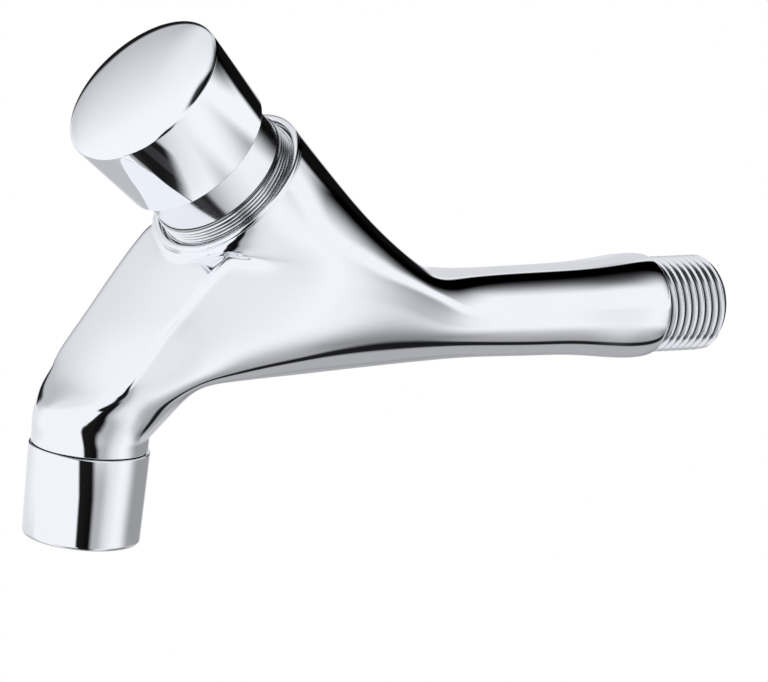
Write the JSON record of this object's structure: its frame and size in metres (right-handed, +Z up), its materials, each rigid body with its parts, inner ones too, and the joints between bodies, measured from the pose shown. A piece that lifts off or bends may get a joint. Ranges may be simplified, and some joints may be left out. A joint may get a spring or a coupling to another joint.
{
  "type": "push timed tap",
  "caption": "Wall-mounted self-closing tap: a cast body with a threaded inlet tail, a sloping push cap on a damped spring valve, and a short turned-down spout with an aerator nozzle.",
  "frame": {"origin": "on the inlet axis, in the shoulder plane where the inlet thread starts", "axes": "+X along the inlet thread into the wall, +Z up; the spout points to -X and the nozzle down, and the tap is symmetric about Y = 0"},
  "size_m": [0.1692, 0.0372, 0.11],
  "materials": {
    "body_chrome": "bright mirror chrome on cast brass",
    "cap_chrome": "bright mirror chrome, turned",
    "trim_chrome": "bright mirror chrome, turned",
    "bonnet_chrome": "bright chrome, turned and threaded",
    "brass": "machined brass",
    "steel": "stainless steel",
    "spring_steel": "drawn stainless wire",
    "rubber": "black nitrile rubber",
    "acetal": "moulded acetal",
    "aerator_plastic": "moulded plastic"
  },
  "bodies": {
    "casing": {"body": "body_chrome", "valve_seat": "brass", "seat_o_ring": "rubber", "bonnet": "bonnet_chrome", "bonnet_o_ring": "rubber", "stem_bush": "acetal", "stem_o_ring": "rubber", "bush_clip": "steel", "cylinder_plate": "acetal", "plate_clip": "steel", "return_spring": "spring_steel", "nozzle_sleeve": "trim_chrome", "aerator_washer": "rubber", "aerator_screen": "steel", "aerator_cartridge": "aerator_plastic", "inlet_strainer": "steel", "strainer_washer": "rubber"},
    "plunger": {"push_cap": "cap_chrome", "cap_lock_nut": "steel", "stem": "brass", "piston": "acetal", "piston_lip_seal": "rubber", "piston_clip": "steel", "washer_holder": "brass", "valve_washer": "rubber", "washer_nut": "brass"}
  },
  "joints": [
    {"name": "button_push", "type": "slide", "parent": "casing", "child": "plunger", "axis": [0.7466, 0, -0.6652], "range_m": [0, 0.007], "stiffness_N_per_m": 1500, "springref_m": -0.006, "deforming": ["return_spring"]}
  ]
}
